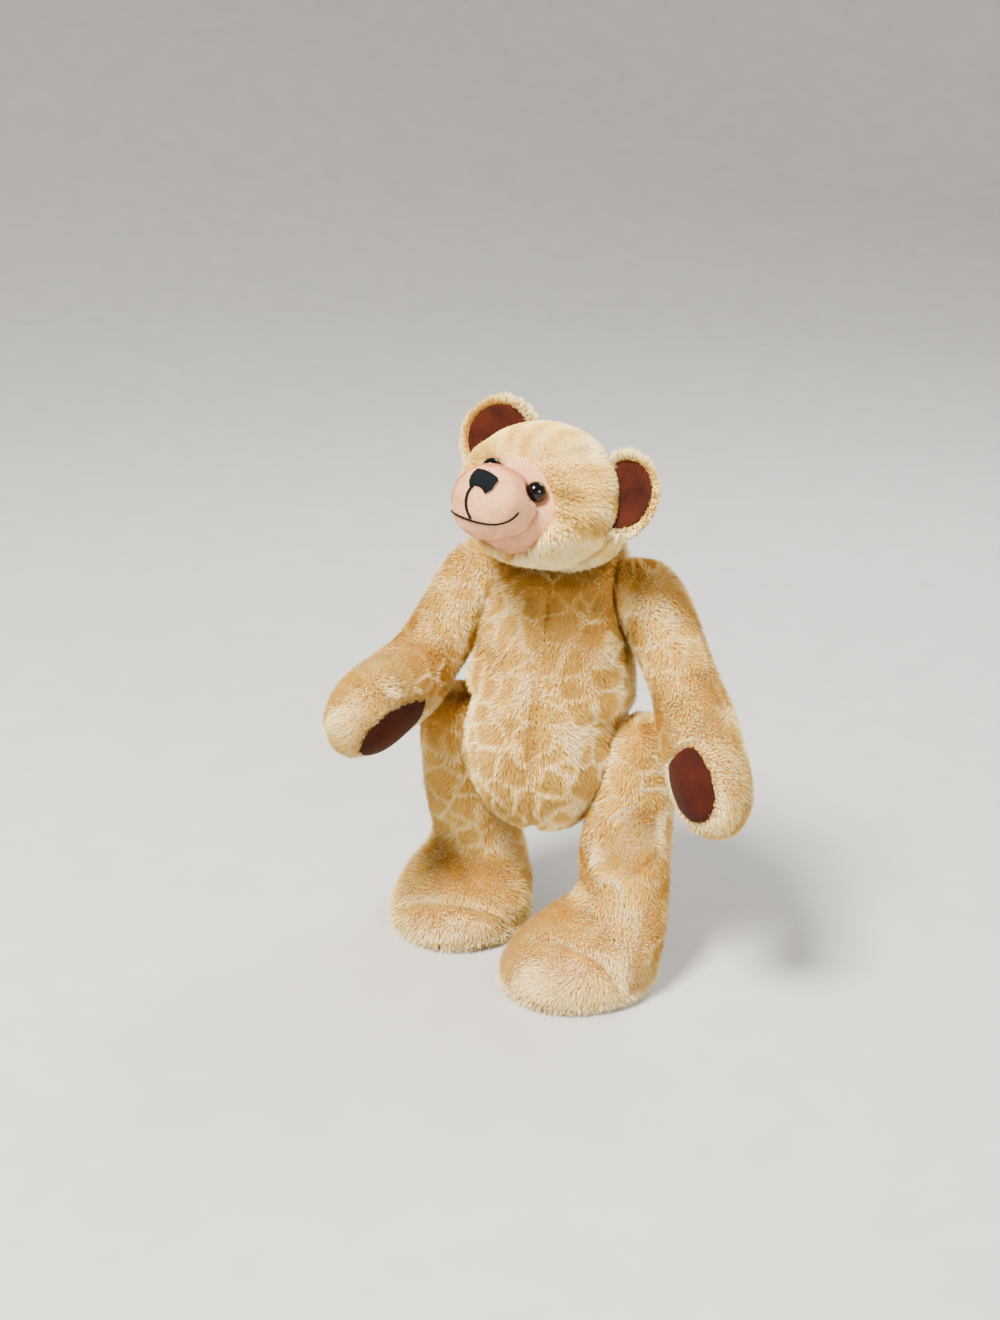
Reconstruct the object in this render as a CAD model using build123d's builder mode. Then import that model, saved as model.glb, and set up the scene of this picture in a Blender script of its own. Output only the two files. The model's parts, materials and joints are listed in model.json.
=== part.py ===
from build123d import *

import os
from collections import namedtuple
from math import acos, cos, degrees, radians, sin, sqrt, tan

# A jointed teddy bear of the old five-joint kind: a stuffed torso that carries a stuffed head,
# two arms and two legs, each on a pair of hardboard discs clamped by a crowned cotter pin.
# Millimetres, +Z up. The bear faces -Y, its left side is +X and its soles stand on z = 0.
# Angles are in degrees. SIDES gives the sign of X on each side of the bear.
SIDES = {"left": 1, "right": -1}

# ---- Stance -----------------------------------------------------------------------------
hip_height = 105.5  # centre of the hips above the floor
torso_lean = 10.0  # the torso leans back from upright
neck_tilt = 30.0  # the neck's axis leans forward from the torso's
head_turn = -18.0  # the head is turned about the neck, towards the bear's right
face_lift = 40.0  # the face looks up from the plane of the neck
face_roll = 4.0  # its left side sits lower
arm_swing = {"left": 6.0, "right": 22.0}  # upper arm forward from hanging
arm_splay = {"left": 18.5, "right": 8.0}  # upper arm outward from the joint's plane
elbow_bend = {"left": 34.0, "right": 46.0}
elbow_splay = {"left": 5.0, "right": 4.0}  # the bend's plane turned outwards about the upper arm
paw_turn = {"left": 30.0, "right": 96.0}  # the paw pad turned inwards round the forearm
foot_ahead = {"left": 49.0, "right": 12.0}  # middle of the foot in front of the hips
toe_in = {"left": 25.0, "right": 0.0}

# ---- Torso ------------------------------------------------------------------------------
torso_drop = 46.0  # hips down to the bottom of the tummy
torso_rise = 104.0  # hips up to the neck
tummy_width = 89.0
tummy_depth = 88.0
tummy_bulge = 3.0  # the tummy's middle in front of the hips
chest_width = 80.0
chest_depth = 74.0
neck_width = 62.0
neck_depth = 58.0

# ---- Head -------------------------------------------------------------------------------
skull_width = 78.0
skull_height = 70.0
skull_back = 40.0  # middle of the head to its back
snout_reach = 54.0  # middle of the head to the tip of the snout
snout_width = 42.0
snout_height = 40.0
snout_drop = 12.0  # the snout's middle line below the head's
head_rise = 42.5  # neck joint to the middle of the head
head_ahead = 20.0  # the middle of the head in front of the neck's axis
muzzle_seam = 28.0  # middle of the head to the seam between head cloth and muzzle

# ---- Face -------------------------------------------------------------------------------
eye_size = 10.0
eye_spacing = 30.6
eye_height = {"left": 2.0, "right": 3.2}  # above the head's middle line
eye_sink = 1.5  # the eye's middle below the cloth
shank_wire = 1.0
shank_length = 7.0
nose_width = 15.0
nose_height = 12.0
nose_pile = 1.2  # thickness of the satin stitches
nose_lift = 8.0  # middle of the nose above the snout's middle line
mouth_drop = 12.5  # length of the upright stitch under the nose
smile_width = 40.0
smile_rise = 14.0
smile_dip = 2.0  # how far the flat bottom of the smile sags
thread_width = 1.8
thread_pile = 0.7

# ---- Ears -------------------------------------------------------------------------------
ear_radius = 21.0
ear_thickness = 9.0
ear_dish = 3.0  # depth of the cupped front
ear_spread = 39.5  # middle plane of the head to the middle of the ear
ear_height = 15.0  # above the head's middle line
ear_back = 7.0  # behind the middle of the head
ear_cup = 8.0  # each ear turned towards the other
lining_margin = 4.0  # plush rim round the lining
lining_thickness = 1.4

# ---- Arms -------------------------------------------------------------------------------
arm_length = 152.0  # top of the shoulder to the tip of the paw, along the arm
arm_thickness = 33.0
arm_width = 41.0
paw_width = 45.0
paw_thickness = 38.0
elbow_start = 64.0  # from the top of the shoulder
elbow_run = 30.0  # length of arm that takes the bend
shoulder_inset = 19.0  # shoulder pin below the top of the shoulder
shoulder_seat = 18.5  # radius of the round seat that holds the shoulder's disc
seat_rise = 17.0  # the seat swells into the arm over this height
wrist_station = {"left": 114.0, "right": 102.0}  # the paw pad starts here
pad_depth = {"left": 9.0, "right": 12.0}  # its seam plane below the forearm's surface
pad_slope = {"left": 15.0, "right": 9.0}  # the seam plane dives towards the tip of the paw

# ---- Legs -------------------------------------------------------------------------------
thigh_thickness = 35.0
thigh_depth = 48.0
thigh_spread = 49.5  # middle plane to the middle of the thigh
thigh_top = 21.0  # above the hips
ankle_width = 51.0
ankle_depth = 46.0
ankle_height = 35.0
ankle_out = {"left": 5.5, "right": -1.0}  # ankle beside the middle line of its foot
ankle_back = 20.0  # ankle behind the middle of the foot
foot_spread = {"left": 39.5, "right": 39.0}  # middle plane to the middle of the foot
foot_width = 72.0
foot_length = 86.0
foot_thickness = 20.0  # height of the foot at the toes
sole_thickness = 2.5
press_depth = 0.5  # how far the sole is flattened where it stands

# ---- Joints -----------------------------------------------------------------------------
shoulder_rise = 74.0  # hips up to the shoulder pins
shoulder_span = 31.5  # middle plane to the shoulder's rub face, along the pin
shoulder_tilt = 11.0  # shoulder pins point up and out
hip_span = 39.0
hip_tilt = 11.0  # hip pins point down and out
hip_flare = 34.0  # slope of the rub face outside its disc
rub_reach = 50.0  # radius out to which a limb rubs on the torso
hollow_top = 32.0  # the torso is hollowed for the thigh up to here above the pin
shoulder_disc = 32.0  # diameters of the hardboard discs
hip_disc = 36.0
neck_disc = 40.0
disc_thickness = 3.0
disc_margin = 1.0  # flat rub face round a disc
cloth_thickness = 1.5
cloth_gap = 0.4  # between the cloth of torso and limb
washer_size = 14.0
washer_thickness = 1.0
pin_size = 3.2
pin_slit = 0.1
pin_clearance = 0.1  # radial, in discs and washers
cloth_hole_clearance = 0.3  # radial, in the two layers of cloth
eye_radius = 1.7  # inside of the cotter pin's eye
neck_bend = 2.6  # bend of each leg below the eye
crown_bend = 3.0  # outside of each leg's curl
pin_play = 0.2  # under the eye
pocket_room = 0.6  # beyond the eye and the crown

# ---- Travel -----------------------------------------------------------------------------
REACH = 260.0  # cutting tools run past the whole bear
LEAD = (1 - sin(radians(45))) / cos(radians(45))  # of an oval whose arcs meet on its diagonals

Joint = namedtuple("Joint", "frame disc flare")


# ---- Frames -----------------------------------------------------------------------------
def heading(frame, x, y, z):
    """A direction measured in frame's own axes."""
    return frame.x_dir * x + frame.y_dir * y + frame.z_dir * z


def point(frame, x, y, z):
    """A place measured in frame's own axes."""
    return frame.origin + heading(frame, x, y, z)


def turned(frame, angle):
    """frame turned about its own z axis."""
    x_dir = heading(frame, cos(radians(angle)), sin(radians(angle)), 0)
    return Plane(origin=frame.origin, x_dir=x_dir, z_dir=frame.z_dir)


def side_joint(side, rise, span, tilt):
    """Frame of a shoulder or hip: z along the pin, away from the torso, and x down the limb."""
    up, out = sin(radians(tilt)), side * cos(radians(tilt))
    pin = heading(body, out, 0, up)
    return Plane(
        origin=point(body, 0, 0, rise) + pin * span,
        x_dir=heading(body, side * up, 0, -cos(radians(tilt))),
        z_dir=pin,
    )


body = Plane(
    origin=(0, 0, hip_height),
    x_dir=(1, 0, 0),
    z_dir=(0, sin(radians(torso_lean)), cos(radians(torso_lean))),
)
neck = Plane(
    origin=point(body, 0, 0, torso_rise),
    x_dir=(1, 0, 0),
    z_dir=heading(body, 0, -sin(radians(neck_tilt)), cos(radians(neck_tilt))),
)
skull = turned(neck, head_turn)
face = Plane(  # x to the bear's left, y up the face, z out of the snout
    origin=point(skull, 0, -head_ahead, head_rise),
    x_dir=skull.x_dir,
    z_dir=heading(skull, 0, -cos(radians(face_lift)), sin(radians(face_lift))),
)
face = turned(face, -face_roll)
JOINTS = {"neck": Joint(neck, neck_disc, 0)}
for name, side in SIDES.items():
    frame = side_joint(side, shoulder_rise, shoulder_span, shoulder_tilt)
    JOINTS[name + "_shoulder"] = Joint(frame, shoulder_disc, 0)
    frame = side_joint(side, 0, hip_span, -hip_tilt)
    JOINTS[name + "_hip"] = Joint(frame, hip_disc, hip_flare)


# ---- Forms ------------------------------------------------------------------------------
def oval(frame, half_x, half_y):
    """An oval of four quarter-turn arcs, drawn in the xy plane of frame."""
    end_radius = (half_y - half_x * LEAD) / (1 - LEAD)
    corner_x = half_x - end_radius + end_radius * cos(radians(45))
    corner_y = end_radius * sin(radians(45))
    with BuildSketch(frame) as sketch:
        with BuildLine():
            ThreePointArc((corner_x, -corner_y), (half_x, 0), (corner_x, corner_y))
            ThreePointArc((corner_x, corner_y), (0, half_y), (-corner_x, corner_y))
            ThreePointArc((-corner_x, corner_y), (-half_x, 0), (-corner_x, -corner_y))
            ThreePointArc((-corner_x, -corner_y), (0, -half_y), (corner_x, -corner_y))
        make_face()
    return sketch.sketch


def stuffed(rings):
    """A loft through ovals, each given as (frame, half_x, half_y)."""
    ovals = [oval(*ring) for ring in rings]
    with BuildPart() as form:
        loft(sections=ovals)
    return form.part


def lathe(frame, outline):
    """The solid that an outline of (radius, height) points makes about the z axis of frame."""
    with BuildPart() as solid:
        with BuildSketch(Plane(origin=frame.origin, x_dir=frame.x_dir, z_dir=-frame.y_dir)):
            with BuildLine():
                Polyline(*outline, close=True)
            make_face()
        revolve(axis=Axis(frame.origin, frame.z_dir))
    return solid.part


def rub_side(joint, limb):
    """All space on the limb's side of a joint's rub face, or else on the torso's side.

    The face is flat. With a flare it falls away outside its disc as a cone that ends at
    rub_reach. The torso is hollowed by the cone only up to hollow_top, where the limb passes,
    and the limb beyond the cone is free.
    """
    level = -cloth_gap / 2 if limb else cloth_gap / 2
    far = REACH if limb else -REACH
    plain = lathe(joint.frame, [(0, level), (REACH, level), (REACH, far), (0, far)])
    if not joint.flare:
        return plain
    flat = joint.disc / 2 + disc_margin
    edge = level - (rub_reach - flat) * tan(radians(joint.flare))
    if not limb:
        return lathe(joint.frame, [(0, level), (flat, level), (rub_reach, edge), (rub_reach, far), (0, far)])
    top = Plane(origin=point(joint.frame, -hollow_top, 0, 0), z_dir=joint.frame.x_dir)
    with BuildPart() as space:
        add(lathe(joint.frame, [(flat, level), (rub_reach, edge), (rub_reach, level)]))
        split(bisect_by=top, keep=Keep.TOP)
        add(plain)
    return space.part


def pin_pocket(joint, limb):
    """The room for a disc, its washer and the pin's eye or crown, with the hole to the pin."""
    way = 1 if limb else -1
    hole = pin_size / 2 + cloth_hole_clearance
    disc_near = cloth_gap / 2 + cloth_thickness
    disc_far = disc_near + disc_thickness
    end = disc_far + washer_thickness + (pin_eye_height if limb else crown_bend) + pocket_room
    outline = [(0, 0), (hole, 0), (hole, disc_near), (joint.disc / 2, disc_near)]
    outline += [(joint.disc / 2, disc_far), (washer_size / 2, disc_far), (washer_size / 2, end)]
    return lathe(joint.frame, [(r, way * h) for r, h in outline + [(0, end)]])


# ---- Cotter pin -------------------------------------------------------------------------
# Half-round wire, folded flat side to flat side round an eye. The path is the middle of the
# flat side: each leg leaves the eye by a bend of radius neck_bend, whose end meets the eye's
# arc tangentially, so cos(spread) = (slit / 2 + neck_bend) / (neck_bend + eye_radius).
half_slit = pin_slit / 2
pin_spread = degrees(acos((half_slit + neck_bend) / (neck_bend + eye_radius)))
eye_centre_rise = (neck_bend + eye_radius) * sin(radians(pin_spread))
pin_eye_height = pin_play + eye_centre_rise + eye_radius + pin_size / 2
disc_face = cloth_gap / 2 + cloth_thickness
washer_face = disc_face + disc_thickness
clamp_face = washer_face + washer_thickness


def cotter_pin(joint):
    """A split pin whose eye lies in the limb and whose legs are crowned over the torso's washer."""
    frame = joint.frame
    bend_y = clamp_face + pin_play
    eye_y = bend_y + eye_centre_rise
    leg_x, crown_x, bend_x = half_slit, half_slit + crown_bend, half_slit + neck_bend
    half_eye = 90 + pin_spread
    start = point(frame, half_slit + 2 * crown_bend, 0, -clamp_face)
    with BuildPart() as pin:
        with BuildLine(Plane(origin=frame.origin, x_dir=frame.x_dir, z_dir=-frame.y_dir)) as path:
            CenterArc((crown_x, -clamp_face), crown_bend, 0, -180)
            Line((leg_x, -clamp_face), (leg_x, bend_y))
            CenterArc((bend_x, bend_y), neck_bend, 180, -pin_spread)
            CenterArc((0, eye_y), eye_radius, -pin_spread, half_eye)
            CenterArc((0, eye_y), eye_radius, 90, half_eye)
            CenterArc((-bend_x, bend_y), neck_bend, pin_spread, -pin_spread)
            Line((-leg_x, bend_y), (-leg_x, -clamp_face))
            CenterArc((-crown_x, -clamp_face), crown_bend, 0, -180)
        with BuildSketch(Plane(origin=start, x_dir=-frame.x_dir, z_dir=-frame.z_dir)):
            with BuildLine():
                CenterArc((0, 0), pin_size / 2, -90, 180)
                Line((0, pin_size / 2), (0, -pin_size / 2))
            make_face()
        sweep(path=path.line)
    return pin.part


def ring_plate(frame, radius, low, high):
    """A disc or washer with the pin's running hole, between two heights along the pin."""
    with BuildPart() as plate:
        with BuildSketch(frame.offset(low)):
            Circle(radius)
            Circle(pin_size / 2 + pin_clearance, mode=Mode.SUBTRACT)
        extrude(amount=high - low)
    return plate.part


PIECES = {}
CARRIED = {"neck": "head"}
for name in SIDES:
    CARRIED[name + "_shoulder"] = "arm"
    CARRIED[name + "_hip"] = "leg"
for name, joint in JOINTS.items():
    PIECES[name + "_pin"] = cotter_pin(joint)
    for part_name, way in (("torso", -1), (CARRIED[name], 1)):
        faces = sorted([way * disc_face, way * washer_face])
        PIECES[f"{name}_{part_name}_disc"] = ring_plate(joint.frame, joint.disc / 2, *faces)
        faces = sorted([way * washer_face, way * clamp_face])
        PIECES[f"{name}_{part_name}_washer"] = ring_plate(joint.frame, washer_size / 2, *faces)


# ---- Torso ------------------------------------------------------------------------------
def torso_rings():
    """A half ball for the tummy's bottom, then a long taper to the neck."""
    rings = []
    for turn in (78, 62, 44, 26, 10):
        share = cos(radians(turn))
        rings.append((-torso_drop * sin(radians(turn)), share * tummy_width, share * tummy_depth, 0.5))
    blend = [(0.17, 0.0, 1.0), (0.38, 0.35, 0.8), (0.58, 0.78, 0.4)]
    for rise, chest, bulge in blend:
        width = tummy_width + (chest_width - tummy_width) * chest
        depth = tummy_depth + (chest_depth - tummy_depth) * chest
        rings.append((torso_rise * rise, width, depth, bulge))
    rings.append((torso_rise * 0.76, chest_width * 0.98, chest_depth * 0.98, 0.0))
    rings.append((torso_rise * 0.91, (chest_width + neck_width) / 2, (chest_depth + neck_depth) / 2, 0.0))
    rings.append((torso_rise * 1.06, neck_width * 0.96, neck_depth * 0.96, 0.0))
    rings.append((torso_rise * 1.22, neck_width * 0.7, neck_depth * 0.7, 0.0))
    return [
        (Plane(origin=point(body, 0, -tummy_bulge * bulge, rise), x_dir=body.x_dir, z_dir=body.z_dir),
         width / 2, depth / 2)
        for rise, width, depth, bulge in rings
    ]


with BuildPart() as torso:
    add(stuffed(torso_rings()))
    for joint in JOINTS.values():
        add(rub_side(joint, limb=True), mode=Mode.SUBTRACT)
        add(pin_pocket(joint, limb=False), mode=Mode.SUBTRACT)
PIECES["torso"] = torso.part


# ---- Head -------------------------------------------------------------------------------
def head_rings(grow=0.0):
    """Rings from the back of the skull to the tip of the snout, each grown by grow."""
    skull_shares = [(-0.98, 0.20), (-0.90, 0.46), (-0.62, 0.80), (-0.20, 1.0)]
    rings = [
        (skull_back * back, 0.0, skull_width / 2 * share, skull_height / 2 * share)
        for back, share in skull_shares
    ]
    rings.append((snout_reach * 0.16, snout_drop * 0.13, skull_width * 0.485, skull_height * 0.475))
    stop_width, stop_height = (skull_width + snout_width) / 4, (skull_height + snout_height) / 4
    rings.append((snout_reach * 0.38, snout_drop * 0.45, stop_width * 1.02, stop_height * 1.0))
    rings.append((snout_reach * 0.54, snout_drop * 0.87, snout_width * 0.5, snout_height * 0.445))
    tip_shares = [(0.72, 0.93), (0.86, 0.84), (0.95, 0.58), (0.99, 0.27)]
    rings += [
        (snout_reach * out, snout_drop, snout_width / 2 * share, snout_height / 2 * share)
        for out, share in tip_shares
    ]
    return [
        (Plane(origin=point(face, 0, -drop, out), x_dir=face.x_dir, z_dir=face.z_dir),
         half_x + grow, half_y + grow)
        for out, drop, half_x, half_y in rings
    ]


head_form = stuffed(head_rings())
neck_clear = rub_side(JOINTS["neck"], limb=False)
muzzle_plane = Plane(origin=point(face, 0, 0, muzzle_seam), x_dir=face.x_dir, z_dir=face.z_dir)


def eye_seat(side, height):
    """The eye's frame: its middle just under the cloth, z out of the cloth."""
    sight = Axis(point(face, side * eye_spacing / 2, height, 0), face.z_dir)
    place, normal = max(
        head_form.find_intersection_points(sight),
        key=lambda hit: (hit[0] - face.origin).dot(face.z_dir),
    )
    return Plane(origin=place - normal * eye_sink, x_dir=face.x_dir, z_dir=normal)


eyes = {name: eye_seat(side, eye_height[name]) for name, side in SIDES.items()}


def ear_profile_arc(radius, depth, level):
    """Three points of the arc that dips by depth at the axis and meets level at radius."""
    bulge = (radius * radius + depth * depth) / (2 * depth)
    half = radius / 2
    return (0, level - depth), (half, level - depth + bulge - sqrt(bulge * bulge - half * half)), (radius, level)


ears, linings = {}, {}
for name, side in SIDES.items():
    frame = Plane(
        origin=point(face, side * ear_spread, ear_height, -ear_back),
        x_dir=face.y_dir,
        z_dir=heading(face, -side * sin(radians(ear_cup)), 0, cos(radians(ear_cup))),
    )
    profile = Plane(origin=frame.origin, x_dir=frame.x_dir, z_dir=-frame.y_dir)
    half_back = ear_thickness - ear_dish
    lining_radius = ear_radius - lining_margin
    with BuildPart() as lining:
        with BuildSketch(profile):
            with BuildLine():
                low = ThreePointArc(*ear_profile_arc(lining_radius, ear_dish, 0))
                Line(low @ 1, (lining_radius, lining_thickness))
                high = ThreePointArc(*ear_profile_arc(lining_radius, ear_dish, lining_thickness))
                Line(high @ 0, low @ 0)
            make_face()
        revolve(axis=Axis(frame.origin, frame.z_dir))
        add(head_form, mode=Mode.SUBTRACT)
    linings[name] = lining.part
    with BuildPart() as ear:
        with BuildSketch(profile):
            with BuildLine():
                back = ThreePointArc(*ear_profile_arc(ear_radius, half_back, 0))
                rim = ThreePointArc(back @ 1, (ear_radius - 1.0, 2.0), (ear_radius - 2.6, 2.2))
                Line(rim @ 1, (lining_radius, 1.2))
                Line((lining_radius, 1.2), (lining_radius, 0))
                dish = ThreePointArc(*ear_profile_arc(lining_radius, ear_dish, 0))
                Line(dish @ 0, back @ 0)
            make_face()
        revolve(axis=Axis(frame.origin, frame.z_dir))
        add(head_form, mode=Mode.SUBTRACT)
    ears[name] = ear.part
    PIECES[name + "_ear"] = ear.part
    PIECES[name + "_ear_lining"] = lining.part


def eye_shank(frame):
    """A wire loop behind a glass eye."""
    back = -eye_size / 2 + 0.2
    loop = 1.5
    with BuildPart() as shank:
        with BuildLine(Plane(origin=frame.origin, x_dir=frame.x_dir, z_dir=-frame.y_dir)) as path:
            Line((loop, back), (loop, back - shank_length + loop))
            CenterArc((0, back - shank_length + loop), loop, 0, -180)
            Line((-loop, back - shank_length + loop), (-loop, back))
        with BuildSketch(Plane(origin=point(frame, loop, 0, back), z_dir=-frame.z_dir)):
            Circle(shank_wire / 2)
        sweep(path=path.line)
        with Locations(frame.location):
            Sphere(eye_size / 2, mode=Mode.SUBTRACT)
    return shank.part


def eye_ball(frame):
    """A full glass ball; the cloth closes round its back half."""
    with BuildPart() as ball:
        with Locations(frame.location):
            Sphere(eye_size / 2)
    return ball.part


def eye_socket(frame):
    """The ball's seat and the room for its shank."""
    with BuildPart() as socket:
        add(eye_ball(frame))
        with BuildSketch(frame):
            Circle(1.5 + shank_wire)
        extrude(amount=-(eye_size / 2 + shank_length + pocket_room))
    return socket.part


with BuildPart() as head:
    add(head_form)
    split(bisect_by=muzzle_plane, keep=Keep.BOTTOM)
    add(neck_clear, mode=Mode.SUBTRACT)
    add(pin_pocket(JOINTS["neck"], limb=True), mode=Mode.SUBTRACT)
    for frame in eyes.values():
        add(eye_socket(frame), mode=Mode.SUBTRACT)
PIECES["head"] = head.part

with BuildPart() as muzzle:
    add(head_form)
    split(bisect_by=muzzle_plane, keep=Keep.TOP)
    for frame in eyes.values():
        add(eye_socket(frame), mode=Mode.SUBTRACT)
PIECES["muzzle"] = muzzle.part

for name, frame in eyes.items():
    PIECES[name + "_eye"] = eye_ball(frame)
    PIECES[name + "_eye_shank"] = eye_shank(frame)

# The nose is a shield of satin stitches and the mouth a stitched line and a smile. Each is
# what its outline cuts from the snout grown by the height of its stitches.
nose_y = nose_lift - snout_drop
with BuildPart() as nose:
    with BuildSketch(muzzle_plane):
        with BuildLine():
            top = ThreePointArc(
                (-nose_width * 0.42, nose_y + nose_height * 0.42),
                (0, nose_y + nose_height / 2),
                (nose_width * 0.42, nose_y + nose_height * 0.42),
            )
            right = ThreePointArc(
                top @ 1,
                (nose_width * 0.47, nose_y - nose_height * 0.02),
                (nose_width * 0.16, nose_y - nose_height / 2),
            )
            left = ThreePointArc(
                (-nose_width * 0.16, nose_y - nose_height / 2),
                (-nose_width * 0.47, nose_y - nose_height * 0.02),
                top @ 0,
            )
            Line(right @ 1, left @ 0)
        make_face()
    extrude(amount=snout_reach)
    add(stuffed(head_rings(nose_pile)), mode=Mode.INTERSECT)
    add(head_form, mode=Mode.SUBTRACT)
PIECES["nose"] = nose.part

with BuildPart() as mouth:
    with BuildSketch(muzzle_plane):
        with BuildLine():
            foot = (0, nose_y - nose_height / 2 - mouth_drop)
            Line((0, nose_y - nose_height * 0.52), foot)
        trace(line_width=thread_width)
    with BuildSketch(muzzle_plane):
        with BuildLine():
            turn = (smile_width / 3, foot[1] + smile_dip)
            corner = (smile_width / 2, foot[1] + smile_rise)
            ThreePointArc((-turn[0], turn[1]), foot, turn)
            for way in (1, -1):
                bow = (way * smile_width * 0.45, (turn[1] + corner[1]) / 2 - smile_dip)
                ThreePointArc((way * turn[0], turn[1]), bow, (way * corner[0], corner[1]))
        trace(line_width=thread_width)
    extrude(amount=snout_reach)
    add(stuffed(head_rings(thread_pile)), mode=Mode.INTERSECT)
    add(head_form, mode=Mode.SUBTRACT)
PIECES["mouth_stitches"] = mouth.part


# ---- Arms -------------------------------------------------------------------------------
def arm_base(name, side):
    """Frame at the top of an upper arm: x down the arm, z the axis of the elbow's bend."""
    joint = JOINTS[name + "_shoulder"].frame
    swing, splay = radians(arm_swing[name]), radians(elbow_splay[name])
    forward = heading(body, 0, -1, 0)
    down = joint.x_dir * cos(swing) + forward * sin(swing)
    down = down * cos(radians(arm_splay[name])) + joint.z_dir * sin(radians(arm_splay[name]))
    hinge = forward.cross(down).normalized() * -1  # positive turns about it swing the arm forward
    bend_axis = hinge * cos(splay) + hinge.cross(down) * (side * sin(splay))
    top = joint.origin + joint.z_dir * (arm_thickness / 2 - 1.0) - down * shoulder_inset
    return Plane(origin=top, x_dir=down, z_dir=bend_axis)


def arm_station(base, bend, along):
    """The frame across an arm at a length along it, with y on the outside of the elbow."""
    run = min(max(along - elbow_start, 0.0), elbow_run)
    angle = bend * run / elbow_run
    radius = elbow_run / bend
    rest = along - run
    before, after = min(rest, elbow_start), max(rest - elbow_start, 0.0)
    x = before + radius * sin(angle) + after * cos(angle)
    y = radius * (1 - cos(angle)) + after * sin(angle)
    return Plane(
        origin=point(base, x, y, 0),
        x_dir=base.z_dir,
        z_dir=heading(base, cos(angle), sin(angle), 0),
    )


def shoulder_form(joint):
    """The flat round seat of an arm on its rub face, rounded off into the stuffed arm."""
    flat, bulge = joint.disc / 2 + disc_margin, seat_rise * 0.4
    profile = Plane(origin=joint.frame.origin, x_dir=joint.frame.x_dir, z_dir=-joint.frame.y_dir)
    with BuildPart() as seat:
        with BuildSketch(profile):
            with BuildLine():
                Polyline((0, seat_rise), (0, 0), (flat, 0))
                side = ThreePointArc((flat, 0), (shoulder_seat, bulge), (shoulder_seat * 0.7, seat_rise))
                Line(side @ 1, (0, seat_rise))
            make_face()
        revolve(axis=Axis(joint.frame.origin, joint.frame.z_dir))
    return seat.part


def arm_rings(base, bend):
    """Rings from the top of the shoulder to the tip of the paw."""
    shares = [(0.01, 0.30), (0.04, 0.60), (0.09, 0.86), (0.16, 1.0), (0.30, 1.0), (0.43, 0.98)]
    rings = [(arm_length * u, arm_thickness * w, arm_width * w) for u, w in shares]
    for u, w in [(0.56, 0.95), (0.70, 0.99), (0.82, 1.0), (0.91, 0.86), (0.97, 0.56), (0.995, 0.26)]:
        rings.append((arm_length * u, paw_thickness * w, paw_width * w))
    return [(arm_station(base, bend, u), thick / 2, wide / 2) for u, thick, wide in rings]


for name, side in SIDES.items():
    joint = JOINTS[name + "_shoulder"]
    base = arm_base(name, side)
    bend = radians(elbow_bend[name])
    arm_form = stuffed(arm_rings(base, bend))
    wrist = arm_station(base, bend, wrist_station[name])
    around = radians(paw_turn[name])
    out = heading(wrist, side * sin(around), -cos(around), 0)
    slope = radians(pad_slope[name])
    pad_normal = out * cos(slope) + wrist.z_dir * sin(slope)
    seam = Plane(
        origin=wrist.origin + out * ((paw_width - pad_depth[name]) / 2),
        x_dir=wrist.z_dir.cross(out),
        z_dir=pad_normal,
    )
    with BuildPart() as pad:
        add(arm_form)
        split(bisect_by=seam, keep=Keep.TOP)
        split(bisect_by=wrist, keep=Keep.TOP)
    with BuildPart() as arm:
        add(arm_form)
        add(shoulder_form(joint))
        add(pad.part, mode=Mode.SUBTRACT)
        add(rub_side(joint, limb=False), mode=Mode.SUBTRACT)
        add(pin_pocket(joint, limb=True), mode=Mode.SUBTRACT)
    PIECES[name + "_arm"] = arm.part
    PIECES[name + "_paw_pad"] = pad.part


# ---- Legs -------------------------------------------------------------------------------
def leg_rings(name, side):
    """Level rings from the top of the thigh down to the sole."""
    turn = radians(-side * toe_in[name])
    foot = Plane(
        origin=(side * foot_spread[name], -foot_ahead[name], 0),
        x_dir=(cos(turn), sin(turn), 0),
        z_dir=(0, 0, 1),
    )
    ankle = point(foot, side * ankle_out[name], ankle_back, ankle_height)
    hip = Vector(side * thigh_spread, 0, hip_height)
    rings = []
    for rise, share in [(0.96, 0.30), (0.86, 0.60), (0.62, 0.86), (0.25, 1.0)]:
        rings.append((hip + Vector(0, 0, thigh_top * rise), thigh_thickness * share, thigh_depth * share, 0.0))
    for part_way in (0.25, 0.6, 1.0):
        width = thigh_thickness + (ankle_width - thigh_thickness) * part_way
        depth = thigh_depth + (ankle_depth - thigh_depth) * part_way
        rings.append((hip + (ankle - hip) * part_way, width, depth, part_way))
    spread = [(1.5, 0.70, 0.80, 0.70), (1.0, 0.30, 0.94, 0.90), (0.5, 0.0, 1.0, 1.0), (0.12, 0.0, 0.99, 0.985)]
    for level, back, wide, long in spread:
        centre = point(foot, side * ankle_out[name] * back, ankle_back * back, foot_thickness * level)
        rings.append((centre, foot_width * wide, foot_length * long, 1.0))
    rings.append((point(foot, 0, 0, -press_depth), foot_width * 0.93, foot_length * 0.93, 1.0))
    return [
        (Plane(origin=centre, x_dir=(cos(turn * share), sin(turn * share), 0), z_dir=(0, 0, 1)),
         wide / 2, long / 2)
        for centre, wide, long, share in rings
    ]


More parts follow.
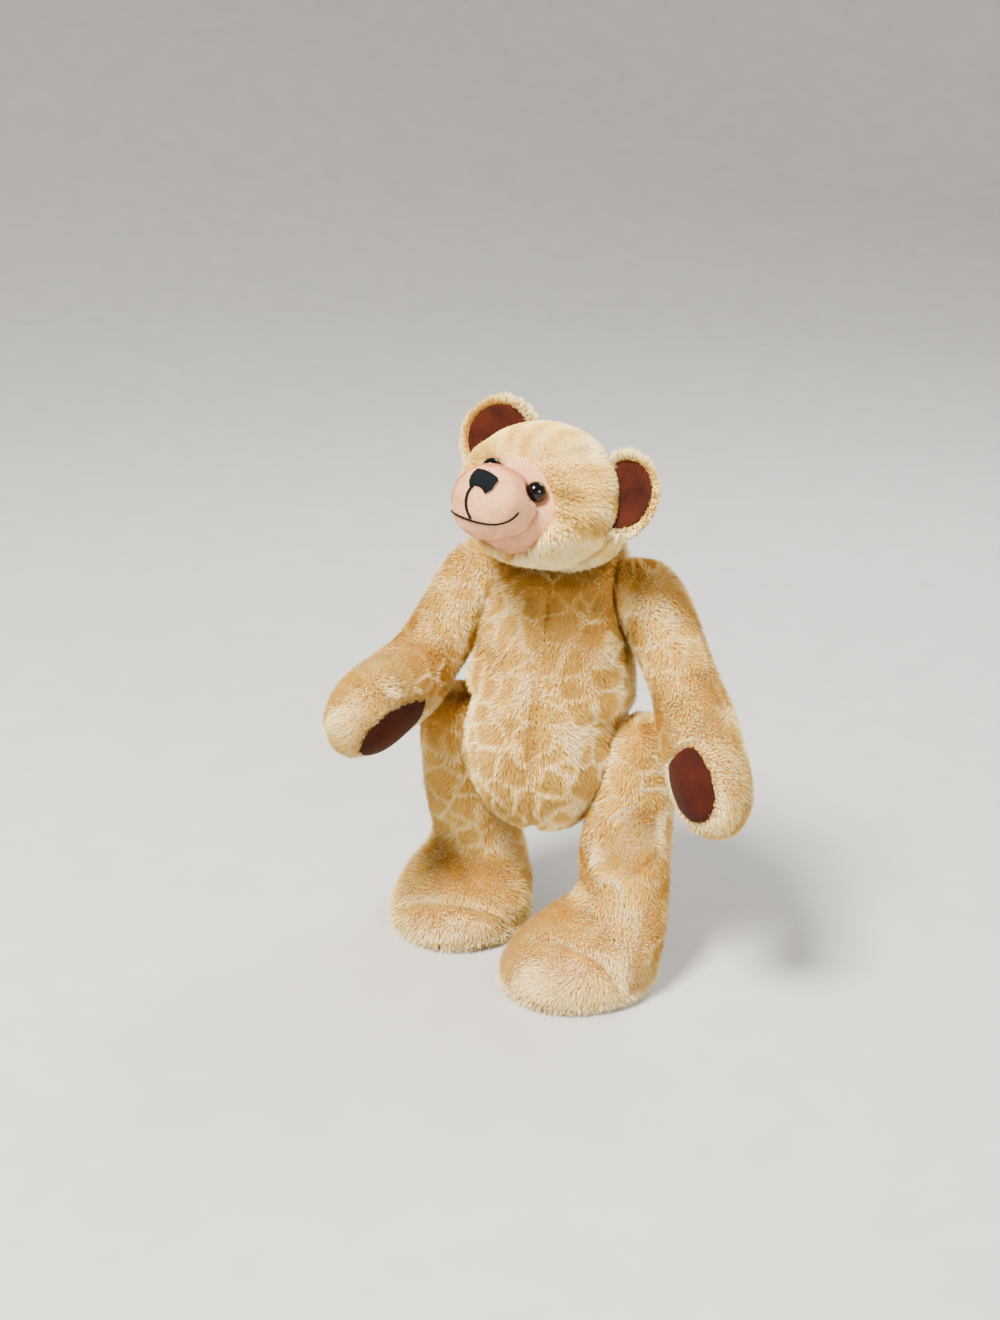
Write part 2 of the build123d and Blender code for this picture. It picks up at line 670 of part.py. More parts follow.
for name, side in SIDES.items():
    joint = JOINTS[name + "_hip"]
    leg_form = stuffed(leg_rings(name, side))
    sole_top = Plane.XY.offset(sole_thickness)
    with BuildPart() as leg:
        add(leg_form)
        split(bisect_by=sole_top, keep=Keep.TOP)
        add(rub_side(joint, limb=False), mode=Mode.SUBTRACT)
        add(pin_pocket(joint, limb=True), mode=Mode.SUBTRACT)
    with BuildPart() as sole:
        add(leg_form)
        split(bisect_by=sole_top, keep=Keep.BOTTOM)
        split(bisect_by=Plane.XY, keep=Keep.TOP)
    PIECES[name + "_leg"] = leg.part
    PIECES[name + "_foot_pad"] = sole.part

# ---- Output -----------------------------------------------------------------------------
# The row's origin is on the floor, under the middle of the bear's bounding box.
boxes = [piece.bounding_box() for piece in PIECES.values()]
middle_x = (min(b.min.X for b in boxes) + max(b.max.X for b in boxes)) / 2
middle_y = (min(b.min.Y for b in boxes) + max(b.max.Y for b in boxes)) / 2
to_origin = Location((-middle_x, -middle_y, 0))

os.makedirs("parts", exist_ok=True)
for name, piece in PIECES.items():
    placed = piece.moved(to_origin)
    placed.label = name
    export_step(placed, f"parts/{name}.step")
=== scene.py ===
# %% [markdown]
# # A jointed teddy bear
# The bear is a soft toy on a hard inner frame. The solids that carry the joints
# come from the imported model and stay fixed; this lesson dresses them in stuffed
# cloth, plush pile, suede pads, stitched thread and glass eyes.
# Loading comes first, because every later step asks the frame where things are.

# %% Load the frame
import json
import math
import bpy
import numpy as np
from mathutils import Matrix, Vector
from mathutils.bvhtree import BVHTree
from mathutils.kdtree import KDTree


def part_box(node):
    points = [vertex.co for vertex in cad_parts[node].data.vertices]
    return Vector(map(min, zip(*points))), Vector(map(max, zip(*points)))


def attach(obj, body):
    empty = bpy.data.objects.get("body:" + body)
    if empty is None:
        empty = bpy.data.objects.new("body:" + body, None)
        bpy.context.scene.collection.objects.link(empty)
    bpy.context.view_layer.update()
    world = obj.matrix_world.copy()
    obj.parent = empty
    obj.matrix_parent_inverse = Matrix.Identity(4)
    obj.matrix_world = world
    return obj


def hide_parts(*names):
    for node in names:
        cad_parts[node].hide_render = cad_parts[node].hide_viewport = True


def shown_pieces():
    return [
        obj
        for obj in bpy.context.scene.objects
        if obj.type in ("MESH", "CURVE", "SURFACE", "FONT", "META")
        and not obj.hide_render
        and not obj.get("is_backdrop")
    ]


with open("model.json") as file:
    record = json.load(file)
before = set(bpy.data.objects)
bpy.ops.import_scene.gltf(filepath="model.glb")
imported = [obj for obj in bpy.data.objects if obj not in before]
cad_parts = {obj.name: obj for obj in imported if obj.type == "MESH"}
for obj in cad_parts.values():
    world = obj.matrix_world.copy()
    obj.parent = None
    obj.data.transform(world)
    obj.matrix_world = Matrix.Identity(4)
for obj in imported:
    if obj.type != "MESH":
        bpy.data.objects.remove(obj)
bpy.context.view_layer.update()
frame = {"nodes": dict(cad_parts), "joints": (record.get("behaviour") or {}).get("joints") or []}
nodes = frame["nodes"]
MM = 0.001
print("solids loaded:", len(nodes))

# %% [markdown]
# ## Camera
# The bear is looked at from a little above and from its own left, with the
# camera slightly rolled. A long lens keeps the paws and feet in proportion.
# The place is worked out from two angles round a target inside the body, and
# the camera is turned towards the middle of the picture, so no lens shift is
# needed and the other views stay centred.

# %% Place the camera
ROUND, ABOVE, ROLL = (math.radians(a) for a in (17, 21, 3.5))
TARGET, DISTANCE = Vector((0, 0, 0.150)), 1.0
AIM_ACROSS, AIM_UP = -0.0309, 0.0061
across = Vector((math.cos(ROUND), math.sin(ROUND), 0))
behind = Vector((math.sin(ROUND) * math.cos(ABOVE),
                 -math.cos(ROUND) * math.cos(ABOVE), math.sin(ABOVE)))
upward = behind.cross(across)
eye_point = TARGET + DISTANCE * behind
aim = (-behind + AIM_ACROSS * across + AIM_UP * upward).normalized()
tilted_up = upward * math.cos(ROLL) - across * math.sin(ROLL)
side = aim.cross(tilted_up).normalized()
camera = bpy.data.objects.new("camera", bpy.data.cameras.new("camera"))
camera.data.lens = 54.545
camera.data.sensor_width = 36
camera.data.clip_start = 0.05
camera.matrix_world = Matrix.Translation(eye_point) @ Matrix(
    (side, side.cross(aim), -aim)).transposed().to_4x4()
bpy.context.scene.collection.objects.link(camera)
bpy.context.scene.camera = camera
print("camera at", tuple(round(c, 3) for c in eye_point))

# %% [markdown]
# ## Arrays into meshes
# Every surface below is a set of numpy arrays: a table of corners and a table
# of faces. One helper puts such arrays into a mesh, another writes numbers on
# its corners for a finish to read. The shapes of the lesson, rings, tubes and
# hairs, only differ in how the two tables are worked out.

# %% Mesh from arrays
def new_piece(name, corners, faces):
    """A smooth object whose mesh has these corners (metres) and faces (rows of
    corner indices, as an array or, where some rows are longer, as lists)."""
    mesh = bpy.data.meshes.new(name)
    mesh.from_pydata(corners, [], faces if isinstance(faces, list) else faces.tolist())
    mesh.update()
    mesh.polygons.foreach_set("use_smooth", np.ones(len(mesh.polygons), bool))
    piece = bpy.data.objects.new(name, mesh)
    bpy.context.scene.collection.objects.link(piece)
    return piece


def tube_faces(rows, around):
    """Four-cornered faces between rings: corner, next in the ring, the same two in the
    next ring; the last corner of a ring is followed by its first."""
    index = np.arange(rows * around).reshape(rows, around)
    index = np.hstack([index, index[:, :1]])
    return np.stack([index[:-1, :-1], index[:-1, 1:], index[1:, 1:], index[1:, :-1]],
                    axis=-1).reshape(-1, 4)


def hoops(centres, radii, axis, around=48):
    """Rings round an axis, one to a centre and radius: centre + radius times
    (cos a, sin a) in the ring's plane. Returns corners and four-cornered faces."""
    side = np.cross(axis, [1, 0, 0] if abs(axis[0]) < 0.9 else [0, 1, 0])
    side = side / np.linalg.norm(side)
    a = np.linspace(0, 2 * math.pi, around, endpoint=False)[:, None]
    ring = np.cos(a) * side + np.sin(a) * np.cross(axis, side)
    corners = np.asarray(centres)[:, None] + np.asarray(radii)[:, None, None] * ring
    return corners.reshape(-1, 3), tube_faces(len(radii), around)


def corners_of(mesh):
    """The mesh's corners, one row of x, y and z each."""
    flat = np.empty(len(mesh.vertices) * 3)
    mesh.vertices.foreach_get("co", flat)
    return flat.reshape(-1, 3)


def normals_of(mesh):
    """At each corner the unit mean of the directions that its faces look in."""
    flat = np.empty(len(mesh.vertices) * 3)
    mesh.vertex_normals.foreach_get("vector", flat)
    return flat.reshape(-1, 3)


def triangles_of(mesh):
    """The mesh's faces cut into triangles, one row of three corner indices each."""
    mesh.calc_loop_triangles()
    flat = np.empty(len(mesh.loop_triangles) * 3, np.int32)
    mesh.loop_triangles.foreach_get("vertices", flat)
    return flat.reshape(-1, 3)


def write_on(mesh, **numbers):
    """Puts a number on every corner under each name given."""
    for label, values in numbers.items():
        mesh.attributes.new(label, "FLOAT", "POINT").data.foreach_set(
            "value", values.astype(np.float32))


def unit(v):
    """Each row divided by its own length."""
    return v / np.maximum(np.linalg.norm(v, axis=-1, keepdims=True), 1e-12)


def run_of(path):
    """How far along a path each of its points is: the summed lengths of its steps."""
    return np.r_[0, np.cumsum(np.linalg.norm(np.diff(path, axis=0), axis=1))]

# %% Soft noise
WAVES = np.random.default_rng(7).normal(size=(3, 9, 3))
PHASES = np.random.default_rng(8).uniform(0, 2 * math.pi, (3, 9))


def drift(points, size):
    """A smooth wander of about one unit: three sums of nine sine waves, each wave
    running in its own direction with a length near `size` (metres)."""
    angle = points @ (WAVES * (2 / size)).transpose(0, 2, 1) + PHASES[:, None, :]
    return np.sin(angle).sum(-1).T / 3


def ease(x, low, high):
    """0 below low, 1 above high, and three t squared less two t cubed between."""
    t = np.clip((x - low) / (high - low), 0, 1)
    return t * t * (3 - 2 * t)

# %% [markdown]
# ## Shader maths as sums
# A material is a net of nodes. Wiring them by hand hides the idea, so a small
# class stands for a socket and turns plus, minus, times and so on into Math
# nodes. Anything that isn't arithmetic comes from one `add` method.

# %% Wires and finishes
class Wire:
    """A value on its way through a finish."""

    def __init__(self, finish, socket):
        self.finish, self.socket = finish, socket

    def maths(self, operation, a, b):
        """A Math node that works a and b together."""
        return self.finish.add("ShaderNodeMath", {"operation": operation}, {0: a, 1: b})

    def __add__(self, other):
        return self.maths("ADD", self, other)

    def __sub__(self, other):
        return self.maths("SUBTRACT", self, other)

    def __rsub__(self, other):
        return self.maths("SUBTRACT", other, self)

    def __mul__(self, other):
        return self.maths("MULTIPLY", self, other)

    def __pow__(self, other):
        return self.maths("POWER", self, other)

    __radd__, __rmul__ = __add__, __mul__


class Finish:
    """One material, built up a node at a time."""

    def __init__(self, name, **constants):
        self.material = bpy.data.materials.new(name)
        self.material.use_nodes = True
        self.tree = self.material.node_tree
        self.shader = self.tree.nodes["Principled BSDF"]
        for socket, value in constants.items():
            self.shader.inputs[socket.replace("_", " ")].default_value = value

    def add(self, kind, settings=None, inputs=None, out=0):
        """Any node: its settings first, then the values or wires of its sockets."""
        node = self.tree.nodes.new(kind)
        for key, value in (settings or {}).items():
            if key == "stops":
                while len(node.color_ramp.elements) < len(value):
                    node.color_ramp.elements.new(0.5)
                for element, (place, colour) in zip(node.color_ramp.elements, value):
                    element.position, element.color = place, (*colour, 1)
            else:
                setattr(node, key, value)
        for socket, value in (inputs or {}).items():
            if isinstance(value, Wire):
                self.tree.links.new(value.socket, node.inputs[socket])
            elif value is not None:
                node.inputs[socket].default_value = value
        return Wire(self, node.outputs[out])

    def place(self):
        """Where a point is, measured from the middle of the scene."""
        return self.add("ShaderNodeTexCoord", out="Object")

    def noise(self, scale, detail=2.0, rough=0.5, where=None):
        """Clouds from 0 to 1, about `scale` of them to a metre."""
        return self.add("ShaderNodeTexNoise", None, {
            "Vector": where or self.place(), "Scale": scale, "Detail": detail,
            "Roughness": rough})

    def ramp(self, factor, *stops):
        """The colour of each stop at its factor, and a blend between two stops."""
        return self.add("ShaderNodeValToRGB", {"stops": stops}, {0: factor})

    def mix(self, factor, first, second):
        """The first colour times 1 less the factor, plus the second times the factor."""
        paint = [p if isinstance(p, Wire) else (*p, 1) for p in (first, second)]
        return self.add("ShaderNodeMix", {"data_type": "RGBA"},
                        {0: factor, 6: paint[0], 7: paint[1]}, out=2)

    def attribute(self, name):
        """A number that write_on put on the corners."""
        return self.add("ShaderNodeAttribute", {"attribute_name": name}, out="Fac")

    def bump(self, height, strength, distance):
        """Normals tilted as if the surface rose by height times distance (metres)."""
        return self.add("ShaderNodeBump", None, {
            "Height": height, "Strength": strength, "Distance": distance})

    def feed(self, **wires):
        """Links each wire to the shader's socket of that name; the material is done."""
        for socket, wire in wires.items():
            target = self.shader.inputs[socket.replace("_", " ")]
            self.tree.links.new(wire.socket, target)
        return self.material


def colour(r, g, b):
    """A colour given as a painter sees it, 0 to 255, as the linear light Blender uses."""
    return tuple(((c / 255 + 0.055) / 1.055) ** 2.4 if c > 10 else c / 3294.6
                 for c in (r, g, b))

# %% [markdown]
# ## The plush
# Plush is a woven backing with a cut pile standing in it. The pile is what is
# seen: dark gold between the hairs, pale at the tips, and paler still along
# the lines where it has been crushed and stands up. It could be a particle
# system or a bumpy skin. Here every hair is a small bent blade of three
# triangles, because blades catch the light, cast shade and survive export.
# Each blade carries three numbers: how far along it is, how pale its patch
# is, and a shade of its own.

# %% Backing and pile
GOLD, STRAW, CREAM = colour(184, 136, 48), colour(238, 191, 84), colour(255, 230, 144)


def plush_backing():
    """Tan knitted ground under the pile, darker in blotches; where the skin's own
    `pink` number is 1 it is the face's pink cloth, and paler where `brow` is 1."""
    f = Finish("plush_backing", Roughness=1.0, Specular_IOR_Level=0.1)
    blotch = f.noise(90, 3)
    shade = f.ramp(blotch, (0.3, colour(176, 122, 40)), (0.7, colour(212, 162, 72)))
    pink = f.ramp(blotch, (0.3, colour(228, 168, 124)), (0.7, colour(246, 196, 154)))
    ground = f.noise(1400, 2)
    shade = f.mix(f.attribute("brow") * 0.6, shade, CREAM)
    paint = f.mix(f.attribute("pink"), shade, pink)
    return f.feed(Base_Color=paint, Normal=f.bump(ground, 0.6, 0.0006))


def plush_pile():
    """Root to tip from gold to the patch's own paleness, each hair a little different."""
    f = Finish("plush_pile", Roughness=0.75, Specular_IOR_Level=0.25)
    along, pale, own = (f.attribute(n) for n in ("along", "pale", "own"))
    tip = f.ramp(pale, (0.0, colour(190, 141, 52)), (0.4, STRAW), (0.75, CREAM),
                 (1.0, colour(255, 242, 190)))
    hair = f.mix(along ** 0.5, f.mix(pale * 0.5, GOLD, STRAW), tip)
    return f.feed(Base_Color=f.mix(own * 0.2, hair, colour(255, 234, 156)))


materials = {"backing": plush_backing(), "pile": plush_pile()}
print("plush:", ", ".join(m.name for m in materials.values()))

# %% [markdown]
# ## Cloth pads, muzzle and thread
# The paws, soles and ear linings are brown suede, brushed in patches. The
# muzzle is a pink short-nap cloth. The nose and mouth are worked in black
# satin thread, and the eyes are glass. Blotches come from coarse noise and
# the brushed nap from fine noise in the bump.

# %% Suede, nap, thread, glass
def suede(name, dark, light):
    """Dark to light over 0.65 of coarse brush strokes plus 0.35 of fine fibres."""
    f = Finish(name, Roughness=0.95, Specular_IOR_Level=0.15, Sheen_Weight=0.04,
               Sheen_Roughness=0.4)
    strokes = f.noise(70, 4, 0.6)
    fibres = f.noise(1500, 3, 0.7)
    paint = f.ramp(strokes * 0.65 + fibres * 0.35, (0.36, dark), (0.64, light))
    return f.feed(Base_Color=paint, Normal=f.bump(fibres, 0.5, 0.0005))


def nap_cloth():
    """Pink woven ground: 0.6 of soft blooms plus 0.4 of fuzz, from tan to pale."""
    f = Finish("pink_nap", Roughness=0.95, Sheen_Weight=0.2)
    bloom = f.noise(120, 3)
    fuzz = f.noise(2200, 3, 0.7)
    paint = f.ramp(bloom * 0.6 + fuzz * 0.4, (0.36, colour(224, 166, 116)),
                   (0.62, colour(248, 202, 154)))
    return f.feed(Base_Color=paint, Normal=f.bump(fuzz, 0.55, 0.0005))


def nap_pile():
    """Short pink hairs, darker at the root, in the colours of the blooms they stand in."""
    f = Finish("pink_nap_pile", Roughness=0.9, Sheen_Weight=0.2)
    along, own = f.attribute("along"), f.attribute("own")
    bloom = f.ramp(f.noise(210, 4, 0.6), (0.38, colour(222, 158, 118)),
                   (0.62, colour(252, 204, 156)))
    hair = f.mix(along * 0.8, colour(210, 142, 94), bloom)
    return f.feed(Base_Color=f.mix(own * 0.25, hair, colour(255, 220, 184)))


def satin():
    """Black thread with a blue cast; fine streaks break up its shine."""
    f = Finish("black_thread", Specular_IOR_Level=0.08)
    fray = f.noise(2500, 2)
    paint = f.ramp(fray, (0.3, colour(3, 5, 8)), (0.7, colour(12, 18, 24)))
    return f.feed(Base_Color=paint, Roughness=fray * 0.2 + 0.55,
                  Normal=f.bump(fray, 0.3, 0.0002))


def glass():
    """Black glass: a deep brown glow under a hard clear coat."""
    f = Finish("black_glass", Specular_IOR_Level=0.2, Coat_Weight=0.3, Coat_Roughness=0.02)
    cloud = f.noise(160, 2)
    paint = f.ramp(cloud, (0.3, colour(2, 2, 2)), (0.8, colour(9, 7, 6)))
    return f.feed(Base_Color=paint, Roughness=cloud * 0.04 + 0.04)


materials.update(
    suede=suede("brown_suede", colour(34, 9, 3), colour(62, 20, 8)),
    lining=suede("ear_suede", colour(38, 11, 4), colour(72, 27, 12)),
    nap=nap_cloth(), nap_pile=nap_pile(), thread=satin(), glass=glass(),
    seam=suede("seam_thread", colour(104, 70, 30), colour(150, 108, 58)))
print("soft finishes:", len(materials))

# %% [markdown]
# ## Hidden hardware
# Inside each joint two hardboard discs and two steel washers are held by a
# split pin with its ends curled over. They are the solids themselves: only
# their finish is made here. Pressed board is fibre in all directions; the
# steel has fine drawn lines and a few dull spots.

# %% Board and steel
def board():
    """Three browns by very fine, broken noise."""
    f = Finish("hardboard", Roughness=0.85)
    fibre = f.noise(900, 6, 0.75)
    paint = f.ramp(fibre, (0.3, colour(92, 60, 34)), (0.55, colour(138, 98, 60)),
                   (0.75, colour(168, 128, 84)))
    return f.feed(Base_Color=paint, Normal=f.bump(fibre, 0.4, 0.0003))


def steel():
    """Noise squeezed to fine lines for the shine, and wide spots for the colour."""
    f = Finish("brushed_steel", Metallic=1.0)
    drawn = f.add("ShaderNodeMapping", None, {"Vector": f.place(), "Scale": (1, 1, 14)})
    lines = f.noise(900, 3, 0.6, drawn)
    spots = f.noise(120, 4)
    paint = f.ramp(spots, (0.35, colour(150, 148, 142)), (0.6, colour(196, 196, 194)))
    return f.feed(Base_Color=paint, Roughness=lines * 0.25 + 0.22,
                  Normal=f.bump(lines, 0.15, 0.0001))


def refinish(name, finish):
    """A solid's own material gives way to a finish made here."""
    nodes[name].data.materials.clear()
    nodes[name].data.materials.append(finish)


materials.update(board=board(), steel=steel())
for name in nodes:
    if name.endswith("disc"):
        refinish(name, materials["board"])
    elif name.endswith(("washer", "pin", "shank")):
        refinish(name, materials["steel"])
print("joint sets finished:", sum(n.endswith("_pin") for n in nodes))

# %% [markdown]
# ## Stuffing a skin
# A stuffed part is a closed cloth bag pressed out from inside. It could be
# modelled by hand, but cloth under pressure finds the taut curves by itself.
# The solid's surface is copied, remeshed evenly, drawn in a little and blown
# up again for twenty steps. A cap keeps each point near its start, and the
# cloth round every joint is held still, as the discs hold it.

# %% Even skin
def work_in(piece):
    """Gives the piece the mesh that its modifiers make of it, and takes them off."""
    graph = bpy.context.evaluated_depsgraph_get()
    mesh = bpy.data.meshes.new_from_object(piece.evaluated_get(graph))
    piece.modifiers.clear()
    piece.data = mesh


def even_skin(node, name, voxel):
    """A copy of a solid's surface, with whatever is sewn to it, merged and remeshed
    into even squares."""
    corners, faces = corners_of(nodes[node].data), triangles_of(nodes[node].data)
    if node in SEWN_ON:
        more, quads = SEWN_ON[node]
        quads = quads + len(corners)
        corners = np.vstack([corners, more])
        faces = np.vstack([faces, quads[:, [0, 1, 2]], quads[:, [0, 2, 3]]])
    piece = new_piece(name, corners, faces)
    weld = piece.modifiers.new("weld", "WELD")
    weld.merge_threshold = 1e-6
    remesh = piece.modifiers.new("even", "REMESH")
    remesh.mode, remesh.voxel_size, remesh.use_smooth_shade = "VOXEL", voxel, True
    work_in(piece)
    return piece


def relax(mesh, times):
    """Each corner moves half of the way to the mean of its neighbours."""
    edges = np.empty(len(mesh.edges) * 2, np.int32)
    mesh.edges.foreach_get("vertices", edges)
    a, b = edges.reshape(-1, 2).T
    co = corners_of(mesh)
    count = np.bincount(np.r_[a, b], minlength=len(co))[:, None]
    for _ in range(times):
        total = np.zeros_like(co)
        np.add.at(total, a, co[b])
        np.add.at(total, b, co[a])
        co += 0.5 * (total / count - co)
    mesh.vertices.foreach_set("co", co.ravel())
    mesh.update()


SIDES = "left", "right"
joint_at = {j["name"]: np.array(j["pos_m"]) for j in frame["joints"]}
joint_axis = {j["name"]: unit(np.array(j["axis"], float)) for j in frame["joints"]}
print("joints:", ", ".join(joint_at))

# %% [markdown]
# ## Nape
# The back of the head's cloth is gathered in to the neck and covers the disc
# inside it. The head's solid is a plain rounded form that leaves this nape out,
# so rings from the neck's seat to the middle of the head are sewn on before
# the head is stuffed. It is round about the neck's pin where it meets the
# body, so turning the head doesn't push it into the shoulders. The rings are
# given by their share of the way to the head's middle and by their radius.

# %% Nape rings
HEAD_MIDDLE = np.array([-18.0, 6.5, 241.4]) * MM
SHARE = np.array([0.004, 0.004, 0.03, 0.1, 0.25, 0.42, 0.6, 0.8, 0.95, 0.95])
RADIUS = np.array([0, 23, 26.5, 28, 28.5, 29.5, 30, 26, 15, 0]) * MM
seat, axis = joint_at["neck_swivel"], joint_axis["neck_swivel"]
lift = (HEAD_MIDDLE - seat) @ axis
ahead = HEAD_MIDDLE - seat - lift * axis
SEWN_ON = {"head": hoops(seat + SHARE[:, None] * lift * axis
                         + ease(SHARE, 0.05, 0.9)[:, None] * ahead, RADIUS, axis)}
print("nape:", len(SHARE), "rings over", round(lift / MM), "mm")

# %% Stuffed by pressure
CLAMPED_ROUND, CLAMPED_ALONG = 23 * MM, 7 * MM
PRESSURE_STEPS = 20


def clamped(points):
    """True within a disc's reach of a joint's axis and near the plane between its discs."""
    held = np.zeros(len(points), bool)
    for name, at in joint_at.items():
        along = (points - at) @ joint_axis[name]
        aside = np.linalg.norm(points - at - along[:, None] * joint_axis[name], axis=1)
        held |= (aside < CLAMPED_ROUND) & (np.abs(along) < CLAMPED_ALONG)
    return held


def stuffed(node, name, voxel=3.2, slack=1.0, most=1.7, hold=True, soften=3):
    """The skin of one stuffed part, in mesh squares of `voxel`. Its size comes from the
    solid; slack is how far it is drawn in along its normals, and most is how far the
    pressure may push a point back out (mm)."""
    piece = even_skin(node, name, voxel * MM)
    mesh = piece.data
    relax(mesh, soften)
    start = corners_of(mesh)
    held = clamped(start) if hold else np.zeros(len(start), bool)
    drawn = start - normals_of(mesh) * slack * MM * ~held[:, None]
    mesh.vertices.foreach_set("co", drawn.ravel())
    mesh.update()
    pins = piece.vertex_groups.new(name="held")
    pins.add(np.flatnonzero(held).tolist(), 1.0, "REPLACE")
    cloth = piece.modifiers.new("pressure", "CLOTH")
    cloth.settings.quality = 4
    cloth.settings.mass = 0.2
    cloth.settings.bending_stiffness = 0.3
    cloth.settings.use_pressure = True
    cloth.settings.uniform_pressure_force = 4
    cloth.settings.vertex_group_mass = "held"
    cloth.settings.effector_weights.gravity = 0
    for step in range(1, PRESSURE_STEPS + 1):
        bpy.context.scene.frame_set(step)
    graph = bpy.context.evaluated_depsgraph_get()
    blown = corners_of(piece.evaluated_get(graph).data)
    piece.modifiers.clear()
    move = blown - drawn
    length = np.linalg.norm(move, axis=1, keepdims=True)
    drawn = drawn + move * np.minimum(1, most * MM / np.maximum(length, 1e-9))
    bpy.context.scene.frame_set(1)
    mesh.vertices.foreach_set("co", drawn.ravel())
    mesh.update()
    relax(mesh, 1)
    rounder = piece.modifiers.new("rounder", "SUBSURF")
    rounder.levels = rounder.render_levels = 1
    work_in(piece)
    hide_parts(node)
    return piece

# %% [markdown]
# ## Limb by limb
# Torso, head, muzzle, arms, legs and ears are each a bag of their own, and each
# rides on the body that carries it. The muzzle is a separate pink cloth sewn
# into the face.

# %% Stuffed parts
skins = {"torso": stuffed("torso", "torso_plush", most=2.0),
         "head": stuffed("head", "head_plush", voxel=2.4),
         "muzzle": stuffed("muzzle", "muzzle_cloth", voxel=1.9, slack=0.6, most=0.9)}
body_of = {"torso": "torso", "head": "head", "muzzle": "head"}
for side in SIDES:
    skins[side + "_arm"] = stuffed(side + "_arm", side + "_arm_plush", voxel=2.8)
    skins[side + "_leg"] = stuffed(side + "_leg", side + "_leg_plush", voxel=3.0)
    skins[side + "_ear"] = stuffed(side + "_ear", side + "_ear_plush", voxel=1.5,
                                   slack=0.8, most=0.3, hold=False)
    body_of.update({side + "_arm": side + "_arm", side + "_leg": side + "_leg",
                    side + "_ear": "head"})
for part, skin in skins.items():
    skin.data.materials.append(materials["nap" if part == "muzzle" else "backing"])
    "pink_nap" if part == "muzzle" else "mohair"
    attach(skin, body_of[part])
print("stuffed:", ", ".join(skins))

# %% Suede pads
pads = {}
for side in SIDES:
    for part, body, key, voxel in (("paw_pad", side + "_arm", "suede", 1.4),
                                   ("foot_pad", side + "_leg", "suede", 1.8),
                                   ("ear_lining", "head", "lining", 0.8)):
        name = f"{side}_{part}"
        pad = stuffed(name, name + "_suede", voxel=voxel, slack=0.15, most=0.5,
                      hold=False, soften=1)
        pad.data.materials.append(materials[key])
        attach(pad, body)
        pads[name] = pad
print("suede pieces:", ", ".join(pads))

# %% [markdown]
# ## Seams and creases
# Where two panels are sewn, or a toe is folded under, the cloth sinks along a
# line. A knife or a boolean would leave a hard slot, so each skin's own points
# are pressed in by a bell-shaped amount round a drawn line. The eyes are pulled
# into shallow sockets in the same way.

# %% Press the seams in
def from_line(points, line):
    """Each point's nearest place on a broken line: how far off it is, and the way there
    from the line, as a unit row."""
    a, b = np.asarray(line[:-1]), np.asarray(line[1:])
    along = b - a
    t = ((points[:, None] - a) * along).sum(-1) / (along ** 2).sum(-1)
    off = points[:, None] - (a + np.clip(t, 0, 1)[..., None] * along)
    gap = np.linalg.norm(off, axis=-1)
    nearest = gap.argmin(1)
    rows = np.arange(len(points))
    return gap[rows, nearest], unit(off[rows, nearest])


def pressed(piece, line, depth, width):
    """Points sink along their normals by depth times e to minus (gap / width) squared;
    gap is how far a point is from the line, and all are in millimetres."""
    mesh = piece.data
    co = corners_of(mesh)
    sink = depth * MM * np.exp(-(from_line(co, np.array(line) * MM)[0] / (width * MM)) ** 2)
    co -= normals_of(mesh) * sink[:, None]
    mesh.vertices.foreach_set("co", co.ravel())
    mesh.update()


SEAMS = {
    "torso": [[(-10, 3, 197), (-8, -7, 171), (-6, -17, 142), (-5, -23, 112), (-8, -12, 74),
               (-11, 10, 61)],
              [(-12, 66, 190), (-12, 78, 150), (-12, 74, 100), (-12, 40, 62)]],
    "head": [[(-15, -14, 262), (-4, -11, 263.5), (6.5, 3.7, 265)]],
    "left_leg": [[(5, -42, 23), (22, -46, 29), (45, -51, 25), (56, -50, 13)]],
    "right_leg": [[(-75, -19, 14), (-58, -20, 21), (-37, -17, 22), (-18, -7, 9)]]}
DEPTH = {"torso": 1.2, "head": 0.5, "left_leg": 3.6, "right_leg": 3.6}
SEAM_WIDTH, SOCKET_DEPTH, SOCKET_WIDTH = 2.8, 1.3, 7
for part, lines in SEAMS.items():
    for line in lines:
        pressed(skins[part], line, DEPTH[part], SEAM_WIDTH)
for side in SIDES:
    low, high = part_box(side + "_eye")
    eye_mid = (np.array(low) + np.array(high)) / 2 / MM
    for part in ("head", "muzzle"):
        pressed(skins[part], [eye_mid, eye_mid + 0.1], SOCKET_DEPTH, SOCKET_WIDTH)
print("seams pressed into", ", ".join(SEAMS))

# %% [markdown]
# ## Laying the pile
# The hairs are planted evenly: the skin's faces are laid end to end by area and
# a root is dropped at nearly even steps along that line. Each hair leaves the
# skin at one slope and ends at a flatter one, leans the way the pile was
# brushed, and draws towards the middle of its own small tuft.
# Crushed plush falls into rounded patches a centimetre or so across. Between
# them the hairs stand up and show their pale tips. A set of patch centres
# gives that: where the two nearest centres are nearly as far, the hair is on
# a line between patches.

